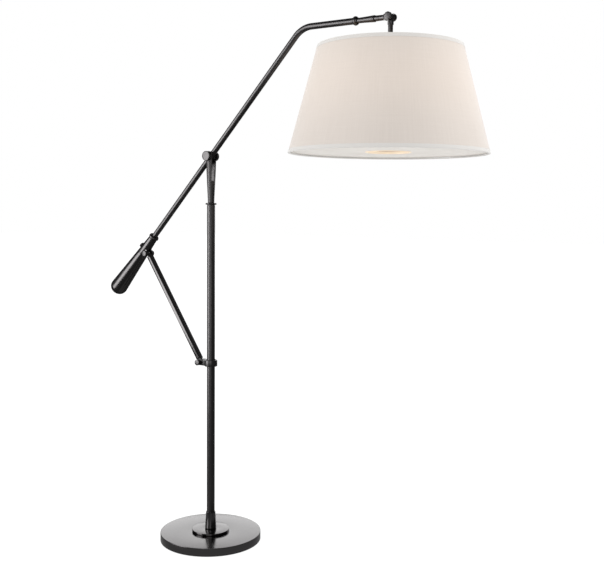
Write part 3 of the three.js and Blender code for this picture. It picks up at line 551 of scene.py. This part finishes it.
def set_studio():
    scene = bpy.context.scene
    scene.view_settings.view_transform = "Standard"
    scene.view_settings.look = "None"
    middle = Vector((0.25, 0.0, 1.0))
    right = Vector((0.8355, 0.5494, 0.0))
    ahead = Vector((-0.5487, 0.8360, 0.0))
    up = Vector((0, 0, 1))

    def station(sideways, forwards, height):
        return middle + right * sideways + ahead * forwards + up * (height - 1.0)

    softbox("key", station(-3.1, -1.0, 1.35), middle + up * 0.1, (2.0, 2.9), 92, diffuse=False)
    softbox("front", station(-0.5, -3.4, 1.3), middle, (2.0, 2.4), 18, diffuse=False)
    softbox("backdrop", station(0.6, 3.4, 1.5), middle, (4.6, 2.0), 58, diffuse=False)
    softbox("paper", Vector((0, 0, 0.0002)), Vector((0, 0, 1)), (0.7, 0.7), 0.26, diffuse=False)
    softbox("left_wash", station(-2.9, -0.6, 1.7), middle + up * 0.4, (1.6, 2.4), 23, glossy=False)
    softbox("right_wash", station(2.9, -0.4, 1.7), middle + up * 0.4, (1.6, 2.4), 27, glossy=False)
    softbox("overhead", station(0.2, 0.0, 3.6), middle, (2.6, 2.6), 14, glossy=False)

    world = bpy.data.worlds.new("studio")
    scene.world = world
    world.use_nodes = True
    tree = world.node_tree
    tree.nodes.clear()
    ray = tree.nodes.new("ShaderNodeLightPath")

    def background(strength):
        made = tree.nodes.new("ShaderNodeBackground")
        made.inputs["Color"].default_value = (1, 1, 1, 1)
        made.inputs["Strength"].default_value = strength
        return made

    def choice(kind, otherwise, chosen):
        """The second shader for one kind of ray, and the first for every other."""
        made = tree.nodes.new("ShaderNodeMixShader")
        tree.links.new(ray.outputs[kind], made.inputs[0])
        tree.links.new(otherwise.outputs[0], made.inputs[1])
        tree.links.new(chosen.outputs[0], made.inputs[2])
        return made

    unseen = choice("Is Glossy Ray", background(0.95), background(0.10))
    lit = choice("Is Camera Ray", unseen, background(1.0))
    out = tree.nodes.new("ShaderNodeOutputWorld")
    tree.links.new(lit.outputs[0], out.inputs[0])

    deselect()
    bpy.ops.mesh.primitive_plane_add(size=60, location=(0, 0, 0))
    floor = bpy.context.object
    floor.name = "floor"
    floor.data.materials.append(floor_finish())
    floor.visible_glossy = False
    floor.visible_diffuse = False


# ---- Stand -----------------------------------------------------------------------------------


def make_base():
    plate = lathe(
        [(8.5, 15.3), (45, 15.3), (45, 1.3), (177.8, 1.3), (177.8, 30), (8.5, 30), (8.5, 15.3)],
        steps=160,
        edge=1.4,
        segments=4,
    )
    cut(plate, slab((-185, -5, -5), (-40, 5, 11.3)))
    finished(plate, "base_disc", "stand", ["base_plate"], turned_bronze)
    step = lathe(
        [(8.5, 30.3), (65.5, 30.3), (65.5, 38.3), (8.5, 38.3), (8.5, 30.3)],
        steps=128,
        edge=0.9,
    )
    finished(step, "step_disc", "stand", ["base_step"], turned_bronze)


def make_pole():
    low, high = 38.6, 100
    ferrule = lathe(
        [(14.3, low), (19.2, low), (19.8, low + 2), (19.6, low + 6), (18.7, low + 22)]
        + [(17.9, low + 38), (17.2, high - 10), (16.9, high - 3), (16.8, high)]
        + [(14.3, high), (14.3, low)],
        steps=72,
        edge=0.5,
    )
    finished(ferrule, "foot_ferrule", "stand", ["pole_ferrule"], turned_bronze)
    pole = lathe(
        [(12, low), (14, low), (14, POLE_TOP), (12, POLE_TOP), (12, low)],
        steps=72,
        edge=0.3,
    )
    finished(pole, "pole", "stand", ["pole_tube"], drawn_bronze)
    middle = POLE_TOP + GAP + 3
    bead = lathe(
        [(9.9, middle - 3), *arc((16.4, middle), (3, 3), -90, 90, 10)]
        + [(9.9, middle + 3), (9.9, middle - 3)],
        steps=64,
    )
    finished(bead, "pole_bead", "stand", ["pole_top_ring"], bronze)


# ---- Fork and pivot --------------------------------------------------------------------------


def make_fork():
    body = lathe(
        [(0, 1130), (9.6, 1130), (9.6, 1195.6), (11.2, 1195.6), (11.3, 1201), (11.7, 1212), (13, 1240)]
        + [(14.6, 1271), (16.1, 1305), (17.1, 1340), (17.3, PIVOT_Z + 25), (0, PIVOT_Z + 25)],
        steps=72,
    )
    hull = slab((-17, -30, 1120), (17, 30, PIVOT_Z + 17))
    round_end(hull, 2, PIVOT_Z + 17, 16.8, 20)
    combine(body, hull, "INTERSECT")
    slot = slab((-30, -11, 1271), (30, 11, PIVOT_Z + 30))
    low, high = PIVOT_Z - 17.6, PIVOT_Z + 40
    seats = [slab((-20, near, low), (20, far, high)) for near, far in ((-40, -15.2), (15.2, 40))]
    hole = pin_tool(5.3, -50, 50, at(0, 0, PIVOT_Z) @ NEAR)
    washers = pin_tool(10.8, -13.4, 13.4, at(0, 0, PIVOT_Z) @ NEAR)
    cut(body, *seats, slot, hole, washers)
    round_edges(body, 0.5, 2, 40)
    finished(body, "fork_body", "swivel", ["fork"], cast_bronze)


def knob(radius, seat, face, place, edge=1.4, crown=0.7):
    """A turned cap with a slightly crowned face, seated on a flat at a distance along its axis."""
    outline = [(0, seat), (radius - 0.8, seat), (radius, seat + 0.8), (radius, face - edge - crown)]
    outline += arc((radius - edge, face - edge - crown), (edge, edge), 0, 62, 5)[1:]
    rim, height = outline[-1]
    inward = [1 - i / 5 for i in range(1, 6)]
    outline += [(rim * share, height + (face - height) * (1 - share**2)) for share in inward]
    return lathe(outline, place, 64)


def make_pivot_caps():
    place = at(0, 0, PIVOT_Z)
    near = knob(16.5, 15.5, 31, place @ NEAR)
    finished(near, "clamp_knob", "pivot_knob", ["pivot_knob"], bronze)
    far = knob(15.8, 15.5, 26, place @ FAR)
    finished(far, "clamp_cap", "swivel", ["pivot_cap"], bronze)


# ---- Arm -------------------------------------------------------------------------------------


def make_arm_tube():
    heading = Vector((cos(ARM_ANGLE), 0, sin(ARM_ANGLE)))
    pivot = Vector((0, 0, PIVOT_Z))
    cut_back = BEND_RADIUS * tan(ARM_ANGLE / 2)
    tail = pivot - heading * TUBE_TAIL
    bend_start = pivot + heading * (ARM_TO_BEND - cut_back)
    inward = Vector((sin(ARM_ANGLE), 0, -cos(ARM_ANGLE)))
    centre = bend_start + inward * BEND_RADIUS
    level_run = NECK_START - 1 - (ARM_TO_BEND * cos(ARM_ANGLE) + cut_back)
    deselect()
    bpy.ops.mesh.primitive_circle_add(
        vertices=48,
        radius=ARM_RADIUS * MM,
        fill_type="NGON",
        location=tail * MM,
        rotation=(0, radians(90) - ARM_ANGLE, 0),
    )
    tube = bpy.context.object
    bpy.ops.object.transform_apply(location=True, rotation=True, scale=True)
    bpy.ops.object.mode_set(mode="EDIT")
    bpy.ops.mesh.select_mode(type="FACE")
    bpy.ops.mesh.select_all(action="SELECT")
    bpy.ops.mesh.inset(thickness=1.5 * MM)
    bpy.ops.mesh.delete(type="FACE")
    bpy.ops.mesh.select_all(action="SELECT")
    for _ in range(8):
        step = (bend_start - tail) * (MM / 8)
        bpy.ops.mesh.extrude_region_move(TRANSFORM_OT_translate={"value": step})
    bpy.ops.mesh.spin(steps=18, angle=-ARM_ANGLE, center=centre * MM, axis=(0, 1, 0))
    bpy.ops.mesh.extrude_region_move(TRANSFORM_OT_translate={"value": (level_run * MM, 0, 0)})
    bpy.ops.mesh.select_all(action="SELECT")
    bpy.ops.mesh.remove_doubles(threshold=1e-6)
    bpy.ops.mesh.normals_make_consistent(inside=False)
    bpy.ops.object.mode_set(mode="OBJECT")
    cut(tube, pin_tool(6.7, -20, 20, at(0, 0, PIVOT_Z) @ NEAR))
    finished(tube, "bent_tube", "arm", ["arm_tube"], bronze)


def make_arm_end():
    middle = NECK_START - 0.5
    bead = lathe(
        [(10.4, middle - 7), (11.1, middle - 7), *arc((11.1, middle), (3, 5.5), -90, 90, 14)]
        + [(11.1, middle + 7), (10.4, middle + 7), (10.4, middle - 7)],
        ALONG_TOP,
        64,
    )
    finished(bead, "tube_bead", "arm", ["arm_ring"], bronze)
    start, end = NECK_START, NECK_END
    neck = lathe(
        [(3.6, start - 30), (8.3, start - 30), (8.3, start), (8.4, start + 12), (8.8, start + 28)]
        + [(9.5, start + 46), (10.2, end - 8), (10.4, end - 1), (6.3, end), (6.3, end - 19)]
        + [(3.6, end - 19), (3.6, start - 30)],
        ALONG_TOP,
        64,
        edge=0.4,
    )
    finished(neck, "tapered_neck", "arm", ["arm_neck"], bronze)
    make_end_fork(end + GAP)
    place = at(REACH, 0, TOP_ARM_Z)
    near = knob(12, 13.3, 22, place @ NEAR, 1.1, 0.5)
    finished(near, "end_clamp_knob", "end_knob", ["end_knob"], bronze)
    far = knob(12, 13.3, 19, place @ FAR, 1.1, 0.5)
    finished(far, "end_clamp_cap", "arm", ["end_cap"], bronze)


def make_end_fork(start):
    """A slender neck with a slotted, rounded head, and a round spigot that seats in the tapered neck."""
    z = TOP_ARM_Z
    root = lathe(
        [(0, start - 18), (6, start - 18), (6, start), (8.9, start), (8.6, start + 10)]
        + [(8.3, REACH - 14), (0, REACH - 14)],
        ALONG_TOP,
        40,
    )
    head = slab((REACH - 20, -13, z - 9), (REACH + 9, 13, z + 9))
    round_end(head, 0, REACH + 9, 8.99, 14)
    choose(head)
    for vertex in head.data.vertices:
        if vertex.co.x < (REACH - 19) * MM:
            vertex.co.y *= 0.72
            vertex.co.z = z * MM + (vertex.co.z - z * MM) * 0.94
    weld(head, root)
    slot = slab((REACH - 18, -SLOT_HALF, z - 20), (REACH + 20, SLOT_HALF, z + 20))
    cut(head, slot, pin_tool(PIN_HOLE, -20, 20, at(REACH, 0, z) @ NEAR))
    round_edges(head, 0.5, 2, 40)
    finished(head, "end_block", "arm", ["end_fork"], bronze)


# ---- Counterweight, strut and collar ---------------------------------------------------------


def weight_radius(station):
    return 15.6 + 0.0625 * (station - 396)


def ear(length, radius, low, high, place):
    """A flat ear with a round end at its own origin, reaching length along +X to its root."""
    blank = slab((-radius, low, -radius), (length, high, radius))
    round_end(blank, 0, -radius, radius * 0.999, 14)
    return set_down(blank, place)


def make_weight():
    low, high = -470, -396
    sleeve = lathe(
        [(0, low), (weight_radius(470), low), (15.6, high), (0, high)],
        ALONG_ARM,
        72,
        edge=0.5,
    )
    lug = ALONG_ARM @ at(LUG_OFFSET, 0, -LUG_STATION) @ Matrix.Rotation(pi, 4, "Y")
    weld(sleeve, ear(16, 10, -15, 15, lug))
    pocket = slab((-14, -SLOT_HALF, -14), (8.4, SLOT_HALF, 14), place=lug)
    bore = pin_tool(10.4, low - 10, high + 10, ALONG_ARM, 64)
    inward = ALONG_ARM @ at(0, 0, -LUG_STATION) @ Matrix.Rotation(-pi / 2, 4, "Y")
    hole = pin_tool(PIN_HOLE, 5, 30, inward, 30)
    cut(sleeve, pocket, pin_tool(PIN_HOLE, -20, 20, lug @ NEAR), hole, bore)
    round_edges(sleeve, 0.4, 2, 40)
    finished(sleeve, "taper_sleeve", "arm", ["weight_sleeve"], polished_bronze)

    bottom, top = -395.7, -384.7
    middle = (bottom + top) / 2
    bead = lathe(
        [(10.4, bottom), (15.2, bottom), *arc((15.2, middle), (3.2, 5), -90, 90, 12)]
        + [(13.8, top), (10.4, top), (10.4, bottom)],
        ALONG_ARM,
        64,
    )
    finished(bead, "sleeve_bead", "arm", ["sleeve_ring"], polished_bronze)

    start, shoulder = -470.3, -648
    dome = arc((0, shoulder), (weight_radius(648), 29.5), -90, 0, 18)
    weight = lathe(
        [*dome, (weight_radius(560), -560), (weight_radius(-start), start), (10.4, start)]
        + [(10.4, -637.5), (0, -637.5)],
        ALONG_ARM,
        96,
    )
    finished(weight, "bullet_weight", "arm", ["counterweight"], polished_bronze, 40)
    make_thumbscrew()


def make_thumbscrew():
    seat = weight_radius(LUG_STATION + 9.5) + GAP
    place = ALONG_ARM @ at(0, 0, -LUG_STATION) @ Matrix.Rotation(-pi / 2, 4, "Y")
    crown = [(9.5 * cos(radians(t)), seat + 4 + 2.8 * sin(radians(t))) for t in range(0, 91, 15)]
    screw = lathe(
        [(0, 10.4), (3, 10.4), (3, seat), (8.8, seat), (9.5, seat + 0.8)]
        + [*crown[:-1], (0, crown[-1][1])],
        place,
        64,
    )
    finished(screw, "thumbscrew", "sleeve_screw", ["sleeve_screw"], bronze)


def make_strut():
    place = at(COLLAR_PIN_X, 0, COLLAR_Z) @ Matrix.Rotation(-STRUT_HEADING, 4, "Y")
    bar = slab((12.5, -12, -6), (STRUT_LENGTH - 12.5, 12, 6), 0.9)
    near_tongue = ear(40, 7.5, -5.8, 5.8, UPRIGHT)
    far_tongue = ear(40, 7.5, -5.8, 5.8, at(STRUT_LENGTH, 0, 0) @ Matrix.Rotation(pi, 4, "Y"))
    for tongue in (near_tongue, far_tongue):
        combine(tongue, slab((-50, -6, -5.9), (STRUT_LENGTH + 50, 6, 5.9)), "INTERSECT")
    weld(bar, near_tongue, far_tongue)
    near_hole = pin_tool(PIN_HOLE, -20, 20, NEAR)
    far_hole = pin_tool(PIN_HOLE, -20, 20, at(STRUT_LENGTH, 0, 0) @ NEAR)
    cut(bar, near_hole, far_hole)
    set_down(bar, place)
    finished(bar, "strut", "strut", ["strut_bar"], strut_bronze)


def make_collar():
    half = 11
    band = lathe(
        [(0, -half), (22.4, -half), (22.4, half), (0, half)],
        at(0, 0, COLLAR_Z),
        72,
        edge=1.0,
    )
    place = at(COLLAR_PIN_X, 0, COLLAR_Z)
    ears = ear(31, 10, -15, 15, place)
    weld(band, ears)
    bore = pin_tool(18.6, COLLAR_Z - 20, COLLAR_Z + 20, UPRIGHT, 72)
    slot = slab((-70, -SLOT_HALF, COLLAR_Z - 20), (-24.5, SLOT_HALF, COLLAR_Z + 20))
    cut(band, bore, slot, pin_tool(PIN_HOLE, -20, 20, place @ NEAR))
    round_edges(band, 0.4, 2, 40)
    finished(band, "sliding_collar", "collar", ["pole_collar"], bronze)
    liner = lathe(
        [(16.7, -half), (18.3, -half), (18.3, half), (16.7, half), (16.7, -half)],
        at(0, 0, COLLAR_Z),
        64,
        edge=0.3,
    )
    finished(liner, "sliding_liner", "collar", ["collar_liner"], nylon)


def make_strut_caps():
    for which, body, x, z in (
        ("upper", "arm", LUG_X, LUG_Z),
        ("lower", "collar", COLLAR_PIN_X, COLLAR_Z),
    ):
        place = at(x, 0, z)
        tall = knob(10, 15.3, 27, place @ NEAR, 1.2, 0.6)
        finished(tall, which + "_tall_cap", body, [which + "_strut_cap"], bronze)
        flat = knob(10, 15.3, 19.5, place @ FAR, 1.0, 0.4)
        finished(flat, which + "_flat_cap", body, [which + "_strut_nut"], bronze)


# ---- Shade -----------------------------------------------------------------------------------


def cover_radius(height):
    return SHADE_TOP_RADIUS + SHADE_SLOPE * (SHADE_TOP - height)


def hoop(height, name, node):
    """A ring of round wire just inside the cover. Returns how far its wire is from the axis."""
    middle = cover_radius(height) - 4.6
    wire = lathe(arc((middle, height), (WIRE_RADIUS, WIRE_RADIUS), 0, 360, 12), at(REACH, 0, 0), 128)
    finished(wire, name, "shade", [node], zinc, 60)
    return middle


def make_cover():
    low, high = SHADE_BOTTOM + 1, SHADE_TOP - 1
    rows = 8
    heights = [low + (high - low) * i / rows for i in range(rows + 1)]
    outer = [(cover_radius(h), h) for h in heights]
    inner = [(cover_radius(h) - 1.3, h) for h in reversed(heights)]
    cover = lathe([*outer, *inner, outer[0]], at(REACH, 0, 0), 160)
    finished(cover, "linen_cover", "shade", ["shade_fabric"], linen)
    slant = hypot(cover_radius(low) - cover_radius(high), high - low)
    apex = slant * cover_radius(low) / (cover_radius(low) - cover_radius(high))
    half_turn = pi * cover_radius(low) / apex
    width = 2 * apex * sin(half_turn)
    length = apex - (apex - slant) * cos(half_turn)
    area = pi * (cover_radius(low) + cover_radius(high)) * slant
    width * MM
    length * MM
    area * MM * MM


def make_tapes():
    """Tapes round the shade's edges. The bottom one turns under the edge and up behind the hoop."""
    clear, thick = 0.1, 0.6

    def outside(height):
        return (cover_radius(height) + clear + thick, height)

    def against(height):
        return (cover_radius(height) + clear, height)

    low, high = SHADE_BOTTOM, SHADE_BOTTOM + 11
    edge = cover_radius(low)
    outline = [outside(high - 0.6), outside(low + 5), outside(low + 1.6), (edge + 0.2, low + 0.2)]
    outline += [(edge - 1.0, low - 0.3), (edge - 6.2, low - 0.1), (edge - 7.4, low + 1.0)]
    outline += [(edge - 7.4, low + 5.5), (edge - 7.0, low + 5.5), (edge - 6.9, low + 1.3)]
    outline += [(edge - 6.0, low + 0.6), (edge - 1.4, low + 0.5), (edge - 0.2, low + 0.8)]
    outline += [against(low + 1.6), against(high), outside(high - 0.6)]
    bottom = lathe(outline, at(REACH, 0, 0), 160)
    finished(bottom, "bottom_tape", "shade", ["shade_bottom_trim"], tape, 50)

    low, high = SHADE_TOP - 11, SHADE_TOP
    outline = [outside(low + 0.6), outside(high - 5), outside(high - 0.8)]
    outline += [(cover_radius(high) + 0.5, high), against(high - 0.4), against(low), outside(low + 0.6)]
    top = lathe(outline, at(REACH, 0, 0), 160)
    finished(top, "top_tape", "shade", ["shade_top_trim"], tape, 50)


def make_frame():
    hoop(SHADE_BOTTOM + HOOP_RISE, "bottom_hoop", "shade_bottom_hoop")
    height = SHADE_TOP - 6
    middle = hoop(height, "top_hoop", "shade_top_hoop")
    hub_low, hub_high = HUB_HEIGHT - 2.5, HUB_HEIGHT + 2.5
    spider = lathe(
        [(5.4, hub_low), (13, hub_low), (13, hub_high), (5.4, hub_high), (5.4, hub_low)],
        at(REACH, 0, 0),
        48,
        edge=0.6,
    )
    run, rise = middle - 9, height - HUB_HEIGHT
    end = hypot(run, rise) - 2.2
    for heading in (90, 210, 330):
        place = (
            at(REACH, 0, HUB_HEIGHT)
            @ Matrix.Rotation(radians(heading), 4, "Z")
            @ at(9, 0, 0)
            @ Matrix.Rotation(radians(90) - atan2(rise, run), 4, "Y")
        )
        outline = [(0, 0.4), (2.4, 0.4), (2.4, end - 0.8), (1.8, end), (0, end)]
        weld(spider, lathe(outline, place, 18))
    finished(spider, "wire_spider", "shade", ["shade_spider"], zinc, 50)


def make_diffuser():
    low = SHADE_BOTTOM + HOOP_RISE + WIRE_RADIUS + GAP
    high = low + 2.5
    rim = cover_radius(low) - 2.8
    outline = [(66, low), (rim, low), (rim, high), (66, high), (66, low)]
    disc = lathe(outline, at(REACH, 0, 0), 160, 0.4)
    finished(disc, "opal_disc", "shade", ["diffuser"], acrylic)
    lip = low - GAP
    hub = 65.4
    ring = lathe(
        [(hub - 2, lip - 1.6), (hub + 4, lip - 1.6), (hub + 4, lip), (hub, lip), (hub, high + 2)]
        + [(hub - 2, high + 2), (hub - 2, lip - 1.6)],
        at(REACH, 0, 0),
        128,
        0.3,
    )
    finished(ring, "hole_ring", "shade", ["diffuser_ring"], ring_lacquer_painted_glow)


def make_stem():
    z = TOP_ARM_Z
    rod = lathe(
        [(0, 1627), (5, 1627), (5, 1649), (7.6, 1649), (7.6, z - 20)]
        + [(6.6, z - 18.6), (0, z - 18.6)],
        at(REACH, 0, 0),
        56,
        edge=0.4,
    )
    eye = slab((-7.6, -5.8, z - 24), (7.6, 5.8, z + 7.6))
    round_end(eye, 2, z + 7.6, 7.59, 14)
    set_down(eye, at(REACH, 0, 0))
    weld(rod, eye)
    cut(rod, pin_tool(PIN_HOLE, -20, 20, at(REACH, 0, z) @ NEAR))
    round_edges(rod, 0.4, 2, 40)
    finished(rod, "hanging_stem", "shade", ["shade_stem"], bronze)


def make_socket():
    top = SOCKET_TOP
    switch = SHELL_TOP - 22
    place = at(REACH, 0, 0)
    cup = lathe(
        [(5.4, top - 3), (10, top - 3), (14, top - 5), (17.8, top - 14), (17.8, SHELL_TOP + 0.3)]
        + [(19, SHELL_TOP + 0.3), (19, top - 13), (15.5, top - 4), (11, top)]
        + [(5.4, top), (5.4, top - 3)],
        place,
        64,
        0.4,
    )
    finished(cup, "brass_cup", "shade", ["socket_cup"], brass)
    shell = lathe(
        [(0, SHELL_TOP), (0, SHELL_TOP - 10), (13.6, SHELL_TOP - 10), (13.6, SHELL_LOW)]
        + [(18.2, SHELL_LOW), (19, SHELL_LOW + 1), (19, SHELL_LOW + 8), (18.4, SHELL_LOW + 9)]
        + [(19, SHELL_LOW + 10), (19, SHELL_TOP), (0, SHELL_TOP)],
        place,
        64,
        0.3,
    )
    cut(shell, pin_tool(2.4, 15, 24, at(REACH, 0, switch) @ NEAR, 24))
    finished(shell, "brass_shell", "shade", ["socket_shell"], brass)
    turner = lathe(
        [(0, 16.6), (2, 16.6), (2, 24), (4.6, 24), (5, 25), (4.4, 39), (3.6, 40), (0, 40)],
        at(REACH, 0, switch) @ NEAR,
        40,
        0.3,
    )
    finished(turner, "switch_turner", "switch_knob", ["switch_knob"], black_plastic)


def make_bulb():
    neck_low = SHELL_LOW + 5.7
    globe = BULB_LOW + BULB_RADIUS
    belly = arc((0, globe), (BULB_RADIUS, BULB_RADIUS), -90, 22, 20)
    bulb = lathe(
        [*belly, (26.5, globe + 26), (20.5, globe + 38), (15.5, globe + 48), (12.8, globe + 58)]
        + [(12.6, neck_low), (0, neck_low)],
        at(REACH, 0, 0),
        64,
    )
    finished(bulb, "bulb", "shade", ["bulb_glass"], frosted, 50)


def dress_frame():
    dress(felt, "foot_pad")
    dress(rubber, "cord_gland")
    dress(zinc, "base_washer", "base_nut", "pole_stud", "pole_plug", "arm_hub_bush")
    dress(zinc, "pivot_axle", "end_pin", "upper_strut_pin", "lower_strut_pin")
    dress(nylon, "swivel_bush", "pivot_washer_near", "pivot_washer_far")
    dress(sheath, "pole_cable", "arm_cable", "stem_cable")
    dress(cap_metal, "bulb_cap")


set_camera()
set_studio()
make_base()
make_pole()
make_fork()
make_pivot_caps()
make_arm_tube()
make_arm_end()
make_weight()
make_strut()
make_collar()
make_strut_caps()
make_cover()
make_tapes()
make_frame()
make_diffuser()
make_stem()
make_socket()
make_bulb()
dress_frame()
